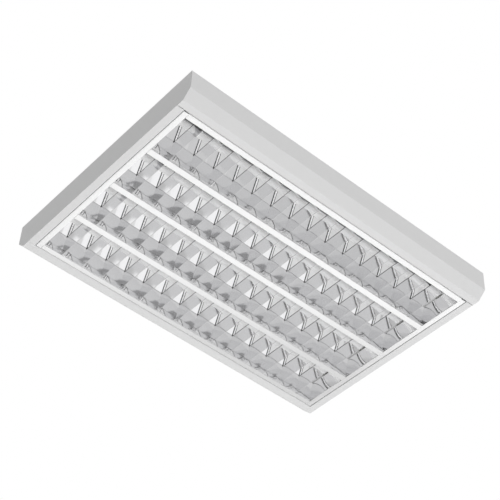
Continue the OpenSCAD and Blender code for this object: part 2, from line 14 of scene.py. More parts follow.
import bmesh
import bpy
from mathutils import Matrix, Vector


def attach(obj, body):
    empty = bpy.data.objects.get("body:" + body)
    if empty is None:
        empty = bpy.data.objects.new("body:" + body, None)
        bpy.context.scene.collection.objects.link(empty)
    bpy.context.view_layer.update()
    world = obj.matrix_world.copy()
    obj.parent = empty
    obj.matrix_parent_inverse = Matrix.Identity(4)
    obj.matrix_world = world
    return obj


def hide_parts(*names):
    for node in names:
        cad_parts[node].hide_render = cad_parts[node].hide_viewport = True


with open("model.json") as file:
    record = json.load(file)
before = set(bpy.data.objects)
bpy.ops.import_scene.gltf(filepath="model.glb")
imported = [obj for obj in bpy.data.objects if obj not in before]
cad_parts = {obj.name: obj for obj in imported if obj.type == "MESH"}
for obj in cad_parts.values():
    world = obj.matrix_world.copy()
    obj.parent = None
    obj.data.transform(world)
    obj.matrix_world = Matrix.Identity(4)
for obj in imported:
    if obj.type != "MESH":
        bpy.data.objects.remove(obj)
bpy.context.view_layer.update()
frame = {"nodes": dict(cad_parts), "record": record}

log = logging.getLogger("ceiling_light")

Point = tuple[float, float]
Triple = tuple[float, float, float]
Feed = bpy.types.NodeSocket | float | tuple[float, ...]

BLACK = (0.0, 0.0, 0.0, 1.0)
WHITE = (1.0, 1.0, 1.0, 1.0)
DUST_COLOUR = (0.42, 0.4, 0.37, 1.0)


class Along(Enum):
    """Direction in which the width of a folded sheet runs."""

    ROWS = "x"
    ACROSS = "y"


class Side(Enum):
    """Long side of the louvre, with the sign of its y."""

    FRONT = -1
    BACK = 1


class End(Enum):
    """Short end of the louvre, with the sign of its x."""

    LEFT = -1
    RIGHT = 1


class Between(Enum):
    """Place between two rows, counted from the middle of the louvre."""

    FRONT = -1
    MIDDLE = 0
    BACK = 1


# Shader nodes


def grey(level: float) -> tuple[float, float, float, float]:
    """Returns a plain grey."""
    return (level, level, level, 1.0)


@dataclass
class NodeBench:
    """Lays out the nodes of one material, node group or world.

    Attributes:
        tree: Its node tree.
    """

    tree: bpy.types.NodeTree

    def add(self, kind: str, **settings: object) -> bpy.types.Node:
        """Adds a node.

        Args:
            kind: Type of the node.
            settings: Its settings by name.

        Returns:
            The node.
        """
        node = self.tree.nodes.new(kind)
        for name, value in settings.items():
            setattr(node, name, value)
        return node

    def feed(self, place: bpy.types.NodeSocket, value: Feed) -> None:
        """Links a socket into a place, or writes a plain value there.

        Args:
            place: The place.
            value: The socket or the plain value.
        """
        if isinstance(value, bpy.types.NodeSocket):
            self.tree.links.new(value, place)
        else:
            place.default_value = value

    def reckon(self, operation: str, *values: Feed, clamp: bool = False) -> bpy.types.NodeSocket:
        """Adds one sum.

        Args:
            operation: Name of the sum.
            values: Its numbers, plain or from other nodes.
            clamp: Whether the result is kept between 0 and 1.

        Returns:
            The result.
        """
        step = self.add("ShaderNodeMath", operation=operation, use_clamp=clamp)
        for place, value in zip(step.inputs, values):
            self.feed(place, value)
        return step.outputs[0]

    def vectors(self, operation: str, first: Feed, second: Feed) -> Mapping[str, bpy.types.NodeSocket]:
        """Adds one sum of two vectors.

        Args:
            operation: Name of the sum.
            first: The first vector.
            second: The second vector.

        Returns:
            Its outputs by name.
        """
        step = self.add("ShaderNodeVectorMath", operation=operation)
        self.feed(step.inputs[0], first)
        self.feed(step.inputs[1], second)
        return step.outputs

    def spread(self, value: Feed, start: Feed, end: Feed, low: Feed = 0.0, high: Feed = 1.0,
               smooth: bool = False) -> bpy.types.NodeSocket:
        """Carries one range of numbers over to another.

        Args:
            value: The number.
            start: Where the first range starts.
            end: Where the first range ends.
            low: Result at the start and before it.
            high: Result at the end and past it.
            smooth: Whether the change is slow at both ends.

        Returns:
            The result.
        """
        step = self.add("ShaderNodeMapRange", interpolation_type="SMOOTHSTEP" if smooth else "LINEAR")
        labels = ("Value", "From Min", "From Max", "To Min", "To Max")
        for label, number in zip(labels, (value, start, end, low, high)):
            self.feed(step.inputs[label], number)
        return step.outputs["Result"]

    def mix(self, kind: str, share: Feed, first: Feed, second: Feed) -> bpy.types.NodeSocket:
        """Mixes two colours or two numbers.

        Args:
            kind: RGBA for colours and FLOAT for numbers.
            share: Share of the second.
            first: The first colour or number.
            second: The second colour or number.

        Returns:
            The result.
        """
        step = self.add("ShaderNodeMix", data_type=kind)
        for label, value in (("Factor", share), ("A", first), ("B", second)):
            self.feed(step.inputs[label], value)
        return step.outputs["Result"]

    def on_piece(self) -> bpy.types.NodeSocket:
        """Returns the point on the piece, which stays with its surface."""
        return self.add("ShaderNodeTexCoord").outputs["Object"]

    def parts(self, vector: Feed) -> Mapping[str, bpy.types.NodeSocket]:
        """Takes a vector apart.

        Args:
            vector: The vector.

        Returns:
            Its X, Y and Z.
        """
        step = self.add("ShaderNodeSeparateXYZ")
        self.feed(step.inputs[0], vector)
        return step.outputs

    def unevenness(self, where: Feed, scale: Feed, detail: float, rough: float) -> bpy.types.NodeSocket:
        """Adds an uneven pattern.

        Args:
            where: The point that it is taken at.
            scale: Number of its cells in a metre.
            detail: Number of its finer steps.
            rough: Strength of each finer step.

        Returns:
            Its level, from 0 to 1.
        """
        step = self.add("ShaderNodeTexNoise")
        for label, value in (("Vector", where), ("Scale", scale), ("Detail", detail), ("Roughness", rough)):
            self.feed(step.inputs[label], value)
        return step.outputs["Fac"]

    def effect(self, group: bpy.types.NodeTree, values: Mapping[str, Feed]) -> Mapping[str, bpy.types.NodeSocket]:
        """Places a node group with its own values.

        Args:
            group: The group.
            values: Value of each input by name.

        Returns:
            Its outputs by name.
        """
        step = self.add("ShaderNodeGroup", node_tree=group)
        for label, value in values.items():
            self.feed(step.inputs[label], value)
        return step.outputs


def new_group(name: str, inputs: Mapping[str, Feed],
              outputs: Sequence[str]) -> tuple[NodeBench, bpy.types.NodeOutputs, bpy.types.NodeInputs]:
    """Makes an empty shader node group with named sockets.

    Args:
        name: Name of the group.
        inputs: Each input with its usual value, a number or a vector.
        outputs: Names of the outputs, which are all numbers.

    Returns:
        The group's nodes, and the sockets that its own nodes start from and end in.
    """
    tree = bpy.data.node_groups.new(name, "ShaderNodeTree")
    for label, value in inputs.items():
        kind = "NodeSocketFloat" if isinstance(value, float) else "NodeSocketVector"
        tree.interface.new_socket(label, in_out="INPUT", socket_type=kind).default_value = value
    for label in outputs:
        tree.interface.new_socket(label, in_out="OUTPUT", socket_type="NodeSocketFloat")
    return NodeBench(tree), tree.nodes.new("NodeGroupInput").outputs, tree.nodes.new("NodeGroupOutput").inputs


# Finishes


@dataclass(frozen=True)
class Zones:
    """Parts of a mirror sheet painted with light and shade instead of mirrored: its lowest band, its rim and its top.

    Attributes:
        low: Height under which the low band lies.
        high: Height over which the band of painted dark shade round the top lies.
        top: Height of the top, whose middle is painted white as light.
        middle: Half the width of that middle.
        pitch: Distance between two blades.
        white_low: 1 for a low band painted white as light, like a flat strip, and 0 for one painted dark as shade,
            like a folded edge.
        rim_y: Distance from the louvre's middle, past which the sheet is its long rim.
        rim_z: Height under which that rim is painted white as light.
        gap_x: Distance from the louvre's middle, past which the sheet faces the gap at an end.
        gap_y: The same distance for the gap along a long side.
        gap_z: Height under which light gets into the gap.
        slant: How much the painted shade on the white strips turns from Y towards X.
        fade: Slanted distance from the louvre's middle at which the painted shade starts, and at which it is full.
        glow: Light that the white middle of the top gives off, painted on as emission.
        rim_glow: Light that the gap round the louvre throws on its rim.
    """

    low: float = -1.0
    high: float = 1.0
    top: float = 1.0
    middle: float = 0.0017
    pitch: float = 0.059
    white_low: float = 0.0
    rim_y: float = 0.2815
    rim_z: float = -0.0785
    gap_x: float = 0.4487
    gap_y: float = 0.2822
    gap_z: float = -0.075
    slant: float = 0.45
    fade: Point = (-0.05, 0.4)
    glow: float = 0.0
    rim_glow: float = 0.0

    def sizes(self) -> dict[str, float]:
        """Lists the sizes that the node group takes.

        Returns:
            The sizes by the names of its inputs.
        """
        return {"Low": self.low, "High": self.high, "Top": self.top, "Middle": self.middle, "Pitch": self.pitch,
                "White Low": self.white_low, "Rim Y": self.rim_y, "Rim Z": self.rim_z, "Gap X": self.gap_x,
                "Gap Y": self.gap_y, "Gap Z": self.gap_z, "Slant": self.slant, "Fade Start": self.fade[0],
                "Fade End": self.fade[1]}


@dataclass
class SurfaceEffects:
    """Shader node groups that several finishes share, each built once.

    Attributes:
        grain_steps: Number of finer steps in the grain, and the strength of each.
        dust_steps: The same for the patches of dust.
        dust_scale: Number of patches of dust in a metre.
        dust_slope: How far up a face looks where dust begins to lie, and where all of it lies.
        groups: The groups that have been built.
    """

    grain_steps: Point = (3.0, 0.55)
    dust_steps: Point = (4.0, 0.5)
    dust_scale: float = 35.0
    dust_slope: Point = (0.2, 0.9)
    groups: dict[str, bpy.types.NodeTree] = field(default_factory=dict)

    def grain(self) -> bpy.types.NodeTree:
        """Builds the group for rolling lines and fine unevenness.

        Returns:
            The group, with a mask and a height.
        """
        if "grain" not in self.groups:
            bench, source, out = new_group("sheet_grain", {"Stretch": (1.0, 1.0, 1.0), "Scale": 100.0,
                                                           "Contrast": 1.0}, ("Mask", "Height"))
            stretched = bench.vectors("MULTIPLY", bench.on_piece(), source["Stretch"])["Vector"]
            height = bench.unevenness(stretched, source["Scale"], *self.grain_steps)
            centred = bench.reckon("SUBTRACT", height, 0.5)
            mask = bench.reckon("MULTIPLY_ADD", centred, source["Contrast"], 0.5, clamp=True)
            bench.feed(out["Mask"], mask)
            bench.feed(out["Height"], height)
            self.groups["grain"] = bench.tree
        return self.groups["grain"]

    def dust(self) -> bpy.types.NodeTree:
        """Builds the group for a thin film of dust, which lies on faces that look up.

        Returns:
            The group, with a mask.
        """
        if "dust" not in self.groups:
            bench, source, out = new_group("dust_film", {"Amount": 0.2}, ("Mask",))
            normal = bench.add("ShaderNodeNewGeometry").outputs["Normal"]
            upward = bench.spread(bench.parts(normal)["Z"], *self.dust_slope)
            patches = bench.unevenness(bench.on_piece(), self.dust_scale, *self.dust_steps)
            film = bench.reckon("MULTIPLY", bench.reckon("MULTIPLY", upward, patches), source["Amount"])
            bench.feed(out["Mask"], film)
            self.groups["dust"] = bench.tree
        return self.groups["dust"]

    def zones(self) -> bpy.types.NodeTree:
        """Builds the group for the parts of a mirror sheet that are painted with light and shade.

        Returns:
            The group, with masks for painted light, for the painted shade on it, for painted dark edge shade and for
            the rim's painted glow.
        """
        if "zones" not in self.groups:
            bench, source, out = new_group("sheet_zones", Zones().sizes(), ("White", "Painted Shade", "Painted Edge Shade", "Rim"))
            where = bench.parts(bench.on_piece())
            from_x, from_y = bench.reckon("ABSOLUTE", where["X"]), bench.reckon("ABSOLUTE", where["Y"])

            # Painted light: the low band and the rim of a flat strip, and the middle of each blade's top, are covered
            # with matt white where the mirror looks bright.
            low = bench.reckon("LESS_THAN", where["Z"], source["Low"])
            rim = bench.reckon("MULTIPLY", bench.reckon("GREATER_THAN", from_y, source["Rim Y"]),
                               bench.reckon("LESS_THAN", where["Z"], source["Rim Z"]))
            white_low = bench.reckon("MULTIPLY", bench.reckon("MAXIMUM", low, rim), source["White Low"])

            half = bench.reckon("MULTIPLY", source["Pitch"], 0.5)
            off = bench.reckon("SUBTRACT", half, bench.reckon("PINGPONG", where["X"], half))
            middle = bench.reckon("MULTIPLY", bench.reckon("GREATER_THAN", where["Z"], source["Top"]),
                                  bench.reckon("LESS_THAN", off, source["Middle"]))
            bench.feed(out["White"], bench.reckon("ADD", white_low, middle))

            # Painted shade: the white of the strips turns a darker grey towards one corner of the louvre.
            slanted = bench.reckon("MULTIPLY_ADD", where["X"], source["Slant"], where["Y"])
            fade = bench.spread(slanted, source["Fade Start"], source["Fade End"], smooth=True)
            bench.feed(out["Painted Shade"], bench.reckon("MULTIPLY", white_low, fade))

            # Painted shade: a near-black band round the top of each blade, and a dark low band on sheets whose low
            # band isn't white.
            high = bench.reckon("GREATER_THAN", where["Z"], source["High"])
            painted_edge_shade_low = bench.reckon("MULTIPLY", low, bench.reckon("SUBTRACT", 1.0, source["White Low"]))
            bench.feed(out["Painted Edge Shade"], bench.reckon("ADD", bench.reckon("SUBTRACT", high, middle), painted_edge_shade_low))

            in_gap = bench.reckon("MAXIMUM", bench.reckon("GREATER_THAN", from_x, source["Gap X"]),
                                  bench.reckon("GREATER_THAN", from_y, source["Gap Y"]))
            lit = bench.reckon("MULTIPLY", bench.reckon("LESS_THAN", where["Z"], source["Gap Z"]), source["White Low"])
            bench.feed(out["Rim"], bench.reckon("MULTIPLY", in_gap, lit))
            self.groups["zones"] = bench.tree
        return self.groups["zones"]


@dataclass(frozen=True)
class InnerEnds:
    """Light that the mirrors throw on the inner face of the housing's back, at its two ends.

    Attributes:
        level: Level of the light.
        height: Height of the inner face.
        play: How far over and under that height the light still lies.
        past: Distance from the housing's middle, past which an end begins.
    """

    level: float = 0.28
    height: float = -0.0008
    play: float = 0.0003
    past: float = 0.43


@dataclass(frozen=True)
class Finish:
    """A finish of one material slot of the record.

    Attributes:
        slot: The record's material slot.
        colour: Base colour as it is written, linear.
        shade: Colour in the hollows of the grain.
        rough: Roughness on the crests and in the hollows of the grain.
        metal: How metallic the surface is.
        stretch: How much closer the grain lies in each direction.
        scale: Number of grain cells in a metre.
        contrast: Strength of the grain.
        relief: Depth of the relief in metres.
        clear: Weight of the clear coat.
        passes: Share of the light that passes through.
        dusty: Amount of dust on faces that look up.
        glow: Light that milky glass scatters on.
        inside: Light on the inner face of the housing's back.
        zones: Parts of a mirror sheet painted with light and shade instead of mirrored.
        painted_light_level: Grey level of the painted light, a matt white where the mirror looks bright.
        painted_shade_level: Grey level of the painted light where painted shade darkens it towards one corner.
        painted_edge_shade_level: Grey level of the painted dark shade on an edge.
        matt: Roughness of all three.
    """

    slot: str
    colour: Triple
    shade: Triple
    rough: Point = (0.4, 0.5)
    metal: float = 0.0
    stretch: Triple = (1.0, 1.0, 1.0)
    scale: float = 400.0
    contrast: float = 1.0
    relief: float = 0.0
    clear: float = 0.0
    passes: float = 0.0
    dusty: float = 0.0
    glow: float = 0.0
    inside: InnerEnds | None = None
    zones: Zones | None = None
    painted_light_level: float = 0.93
    painted_shade_level: float = 0.66
    painted_edge_shade_level: float = 0.05
    matt: float = 0.5

    def material(self, effects: SurfaceEffects) -> bpy.types.Material:
        """Builds the finish as a procedural material.

        Args:
            effects: The shared node groups.

        Returns:
            The material, named after the slot.
        """
        made = bpy.data.materials.new(self.slot)
        made.use_nodes = True
        bench = NodeBench(made.node_tree)
        shader = made.node_tree.nodes["Principled BSDF"].inputs
        shader["Metallic"].default_value = self.metal
        shader["Coat Weight"].default_value = self.clear
        shader["Transmission Weight"].default_value = self.passes
        grain = bench.effect(effects.grain(), {"Stretch": self.stretch, "Scale": self.scale,
                                               "Contrast": self.contrast})
        colour = bench.mix("RGBA", grain["Mask"], (*self.shade, 1.0), (*self.colour, 1.0))
        if self.dusty:
            film = bench.effect(effects.dust(), {"Amount": self.dusty})
            colour = bench.mix("RGBA", film["Mask"], colour, DUST_COLOUR)
        bench.feed(shader["Base Color"], colour)
        crest, hollow = self.rough
        bench.feed(shader["Roughness"], bench.spread(grain["Mask"], 0.0, 1.0, hollow, crest))
        if self.glow:
            shader["Emission Color"].default_value = WHITE
            shader["Emission Strength"].default_value = self.glow
        if self.inside:
            self._light(bench, shader, self._inner_ends(bench, self.inside), self.inside.level)
        if self.zones:
            masks = bench.effect(effects.zones(), self.zones.sizes())
            if self.zones.glow:
                self._light(bench, shader, masks["White"], self.zones.glow)
            if self.zones.rim_glow:
                self._light(bench, shader, masks["Rim"], self.zones.rim_glow)
            # Painted light, the painted shade that darkens it towards one corner, and painted dark shade at edges,
            # laid over the mirror as matt greys.
            self._cover(bench, shader, masks["White"], self.painted_light_level)
            self._cover(bench, shader, masks["Painted Shade"], self.painted_shade_level)
            self._cover(bench, shader, masks["Painted Edge Shade"], self.painted_edge_shade_level)
        if self.relief:
            bump = bench.add("ShaderNodeBump")
            bump.inputs["Strength"].default_value = 1.0
            bump.inputs["Distance"].default_value = self.relief
            bench.feed(bump.inputs["Height"], grain["Height"])
            bench.feed(shader["Normal"], bump.outputs["Normal"])
        return made

    def _inner_ends(self, bench: NodeBench, ends: InnerEnds) -> bpy.types.NodeSocket:
        """Finds the inner face of the housing's back at its two ends.

        Args:
            bench: The material's nodes.
            ends: Where the ends are.

        Returns:
            The mask of both ends.
        """
        where = bench.parts(bench.on_piece())
        back = bench.reckon("COMPARE", where["Z"], ends.height, ends.play)
        end = bench.reckon("GREATER_THAN", bench.reckon("ABSOLUTE", where["X"]), ends.past)
        return bench.reckon("MULTIPLY", back, end)

    def _light(self, bench: NodeBench, shader: Mapping[str, bpy.types.NodeSocket], mask: bpy.types.NodeSocket,
               level: float) -> None:
        """Lets a part of the surface give off a soft white light.

        Args:
            bench: The material's nodes.
            shader: Inputs of its shader.
            mask: Where the light is.
            level: Level of the light.
        """
        bench.feed(shader["Emission Color"], bench.mix("RGBA", mask, BLACK, grey(level)))
        shader["Emission Strength"].default_value = 1.0

    def _cover(self, bench: NodeBench, shader: Mapping[str, bpy.types.NodeSocket], mask: bpy.types.NodeSocket,
               level: float) -> None:
        """Covers a part of a mirror sheet with a matt grey.

        Args:
            bench: The material's nodes.
            shader: Inputs of its shader.
            mask: Where the grey lies.
            level: Level of the grey.
        """
        for label, kind, value in (("Base Color", "RGBA", grey(level)), ("Metallic", "FLOAT", 0.0),
                                   ("Roughness", "FLOAT", self.matt)):
            place = shader[label]
            under = place.links[0].from_socket if place.is_linked else place.default_value
            bench.feed(place, bench.mix(kind, mask, under, value))


class Finishes:
    """All the finishes of the light, by material slot."""

    def __init__(self) -> None:
        """Lists the finishes."""
        self.effects = SurfaceEffects()
        # The strips and the rim's low band get painted light, with painted shade towards one corner and a painted glow
        # in the gap; the blade tops get a band of painted dark shade round a painted white, glowing middle.
        strips = Zones(low=-0.0816, white_low=1.0, rim_glow=0.16)
        blade_tops = Zones(high=-0.0364, top=-0.0343, glow=0.75)
        listed = [
            Finish("white_enamel", (0.73, 0.73, 0.73), (0.69, 0.69, 0.69), rough=(0.36, 0.46), scale=900.0,
                   contrast=1.4, relief=0.00002, clear=0.15, dusty=0.15, inside=InnerEnds()),
            Finish("bright_aluminium", (0.93, 0.93, 0.935), (0.9, 0.9, 0.905), rough=(0.05, 0.09), metal=1.0,
                   stretch=(0.02, 1.0, 1.0), scale=600.0, contrast=1.6, zones=strips),
            Finish("blade_aluminium", (0.93, 0.93, 0.935), (0.9, 0.9, 0.905), rough=(0.05, 0.09), metal=1.0,
                   stretch=(1.0, 0.02, 1.0), scale=600.0, contrast=1.6, zones=blade_tops),
            Finish("zinc_steel", (0.62, 0.63, 0.64), (0.5, 0.51, 0.53), rough=(0.28, 0.42), metal=1.0, scale=250.0,
                   contrast=2.0, relief=0.00001),
            Finish("spring_steel", (0.58, 0.59, 0.61), (0.5, 0.51, 0.53), rough=(0.2, 0.3), metal=1.0,
                   stretch=(1.0, 0.05, 0.05), scale=900.0, contrast=1.5),
            Finish("cap_aluminium", (0.8, 0.8, 0.81), (0.72, 0.72, 0.73), rough=(0.24, 0.36), metal=1.0,
                   stretch=(1.0, 0.1, 0.1), scale=700.0, contrast=1.5),
            Finish("pin_brass", (0.78, 0.62, 0.34), (0.66, 0.5, 0.26), rough=(0.25, 0.38), metal=1.0, scale=500.0),
            Finish("holder_plastic", (0.84, 0.84, 0.81), (0.8, 0.8, 0.77), rough=(0.3, 0.38), scale=700.0,
                   relief=0.00001),
            Finish("rotor_plastic", (0.8, 0.8, 0.77), (0.76, 0.76, 0.73), rough=(0.3, 0.4), scale=700.0),
            Finish("block_plastic", (0.74, 0.72, 0.65), (0.68, 0.66, 0.6), rough=(0.5, 0.6), scale=500.0,
                   relief=0.00002),
            Finish("bush_rubber", (0.03, 0.03, 0.03), (0.02, 0.02, 0.02), rough=(0.7, 0.85), scale=400.0,
                   relief=0.00003, dusty=0.3),
            Finish("wire_sheath", (0.72, 0.72, 0.72), (0.66, 0.66, 0.66), rough=(0.45, 0.55), scale=300.0),
            Finish("earth_brass", (0.76, 0.6, 0.32), (0.6, 0.46, 0.24), rough=(0.3, 0.45), metal=1.0, scale=400.0),
            Finish("frosted_glass", (0.86, 0.86, 0.86), (0.82, 0.82, 0.82), rough=(0.3, 0.4), scale=500.0,
                   passes=0.12, glow=0.15),
            Finish("circuit_board", (0.82, 0.83, 0.8), (0.74, 0.75, 0.72), rough=(0.45, 0.6), scale=300.0),
        ]
        self.by_slot = {finish.slot: finish for finish in listed}
        self.made: dict[str, bpy.types.Material] = {}

    def dress(self, piece: bpy.types.Object, slot: str) -> None:
        """Puts the finish of a slot on every material slot of a piece.

        Args:
            piece: The piece or CAD node to dress.
            slot: The record's material slot.
        """
        if slot not in self.made:
            self.made[slot] = self.by_slot[slot].material(self.effects)
        material = self.made[slot]
        if not piece.material_slots:
            piece.data.materials.append(material)
        for holder in piece.material_slots:
            holder.material = material

    def dress_nodes(self) -> None:
        """Dresses every CAD node in the finish that the record gives it."""
        for part in frame["record"]["subparts"]:
            self.dress(frame["nodes"][part["node"]], part["material_slot"])


# Sheet work


def deselect_all() -> None:
    """Leaves edit mode and deselects every object."""
    if bpy.context.object and bpy.context.object.mode != "OBJECT":
        bpy.ops.object.mode_set(mode="OBJECT")
    bpy.ops.object.select_all(action="DESELECT")


def rounded(path: Sequence[Point], radius: float, steps: int = 6, least_turn: float = 20.0) -> list[Point]:
    """Rounds the bends of a path and leaves the points of its curves alone.

    Args:
        path: Points of the path.
        radius: Radius of each bend.
        steps: Straight steps in a bend.
        least_turn: A point that turns less than this, in degrees, belongs to a curve.

    Returns:
        The points of the rounded path.
    """
    out = [Vector(path[0])]
    for before, here, after in zip(path, path[1:], path[2:]):
        a, b, c = Vector(before), Vector(here), Vector(after)
        u, w = (a - b).normalized(), (c - b).normalized()
        turn = math.pi - u.angle(w)
        if math.degrees(turn) < least_turn:
            out.append(b)
            continue
        half = u.angle(w) / 2
        centre = b + (u + w).normalized() * radius / math.sin(half)
        start, end = b + u * radius / math.tan(half) - centre, b + w * radius / math.tan(half) - centre
        sweep = start.angle_signed(end)
        for k in range(steps + 1):
            angle = -sweep * k / steps
            arm = Vector((start.x * math.cos(angle) - start.y * math.sin(angle),
                          start.x * math.sin(angle) + start.y * math.cos(angle)))
            out.append(centre + arm)
    out.append(Vector(path[-1]))
    return [(p.x, p.y) for p in out]


@dataclass
class SheetFolder:
    """Folds a sheet from a first flat strip, by pulling its edge along a path.

    Attributes:
        smooth_below: Greatest turn between two faces that looks smooth, in degrees.
        same_width: Two widths that differ by less than this are the same.
    """

    smooth_below: float = 30.0
    same_width: float = 1e-7

    def fold(self, name: str, path: Sequence[Point], widths: Sequence[float] | float, along: Along, centre: Vector,
             thickness: float, face: Vector) -> bpy.types.Object:
        """Makes one folded sheet.

        Args:
            name: Name of the piece.
            path: Points of the sheet's visible face, as distance and height in its plane, in metres.
            widths: Width of the sheet at each point, or one width.
            along: Direction of the width.
            centre: Point of the frame that the path and the widths are measured from.
            thickness: Thickness of the sheet, which lies behind its visible face.
            face: Direction that the visible face of the first strip looks in.

        Returns:
            The finished piece, with its place in its mesh.
        """
        wide = [widths] * len(path) if isinstance(widths, float) else list(widths)
        (u0, h0), (u1, h1) = path[0], path[1]
        length, angle = math.hypot(u1 - u0, h1 - h0), math.atan2(h1 - h0, u1 - u0)
        deselect_all()
        bpy.ops.mesh.primitive_plane_add(size=1.0)
        piece = bpy.context.active_object
        piece.name = piece.data.name = name
        piece.location = centre + self._step(along, (u0 + u1) / 2, (h0 + h1) / 2)
        if along is Along.ROWS:
            piece.scale = (wide[0], length, 1.0)
            piece.rotation_euler = (angle, 0.0, 0.0)
        else:
            piece.scale = (length, wide[0], 1.0)
            piece.rotation_euler = (0.0, -angle, 0.0)
        bpy.ops.object.transform_apply(location=True, rotation=True, scale=True)
        bpy.ops.object.mode_set(mode="EDIT")
        bpy.ops.mesh.select_mode(type="EDGE")
        edit = bmesh.from_edit_mesh(piece.data)
        edge_at, reach = self._plane(along, centre + self._step(along, u1, h1)), length / 4
        for polygon in edit.faces:
            polygon.select_set(False)
        for edge in edit.edges:
            near = all((self._plane(along, vert.co) - edge_at).length < reach for vert in edge.verts)
            edge.select_set(near)
        bmesh.update_edit_mesh(piece.data)
        self._widen(along, wide[0], wide[1])
        for before, after, old, new in zip(path[1:], path[2:], wide[1:], wide[2:]):
            step = self._step(along, after[0] - before[0], after[1] - before[1])
            bpy.ops.mesh.extrude_edges_move(TRANSFORM_OT_translate={"value": tuple(step)})
            self._widen(along, old, new)
        bpy.ops.object.mode_set(mode="OBJECT")
        if piece.data.polygons[0].normal.dot(face) < 0:
            bpy.ops.object.mode_set(mode="EDIT")
            bpy.ops.mesh.select_all(action="SELECT")
            bpy.ops.mesh.flip_normals()
            bpy.ops.object.mode_set(mode="OBJECT")
        self._thicken(piece, thickness)
        return piece

    def _step(self, along: Along, u: float, h: float) -> Vector:
        """Returns a step of the path as a vector of the frame."""
        return Vector((0.0, u, h)) if along is Along.ROWS else Vector((u, 0.0, h))

    def _plane(self, along: Along, point: Vector) -> Vector:
        """Returns a point without its place along the width."""
        return Vector((point.y, point.z)) if along is Along.ROWS else Vector((point.x, point.z))

    def _widen(self, along: Along, old: float, new: float) -> None:
        """Scales the selected edge.

        Args:
            along: Direction of its width.
            old: Its width.
            new: The width that it gets.
        """
        if abs(new - old) > self.same_width:
            ratio = new / old
            bpy.ops.transform.resize(value=(ratio, 1.0, 1.0) if along is Along.ROWS else (1.0, ratio, 1.0))

    def _thicken(self, piece: bpy.types.Object, thickness: float) -> None:
        """Gives a sheet its thickness and smooth curves.

        Args:
            piece: The sheet.
            thickness: Its thickness.
        """
        solid = piece.modifiers.new("thickness", "SOLIDIFY")
        solid.thickness = thickness
        solid.offset = -1.0
        solid.use_even_offset = True
        bpy.ops.object.modifier_apply(modifier=solid.name)
        bpy.ops.object.shade_smooth_by_angle(angle=math.radians(self.smooth_below))


def copy_at(piece: bpy.types.Object, name: str, shift: Vector) -> bpy.types.Object:
    """Copies a piece with its own mesh.

    Args:
        piece: The piece to copy.
        name: Name of the copy.
        shift: Where the copy lies from the piece.

    Returns:
        The copy, with its place in its mesh.
    """
    deselect_all()
    piece.select_set(True)
    bpy.context.view_layer.objects.active = piece
    bpy.ops.object.duplicate(linked=False)
    copy = bpy.context.active_object
    copy.name = copy.data.name = name
    copy.location = shift
    bpy.ops.object.transform_apply(location=True, rotation=True, scale=True)
    return copy


def joined(pieces: Sequence[bpy.types.Object], name: str) -> bpy.types.Object:
    """Joins pieces into one object of separate shells.

    Args:
        pieces: The pieces to join.
        name: Name of the result.

    Returns:
        The joined piece.
    """
    deselect_all()
    for piece in pieces:
        piece.select_set(True)
    bpy.context.view_layer.objects.active = pieces[0]
    bpy.ops.object.join()
    whole = bpy.context.active_object
    whole.name = whole.data.name = name
    deselect_all()
    return whole


# Louvre


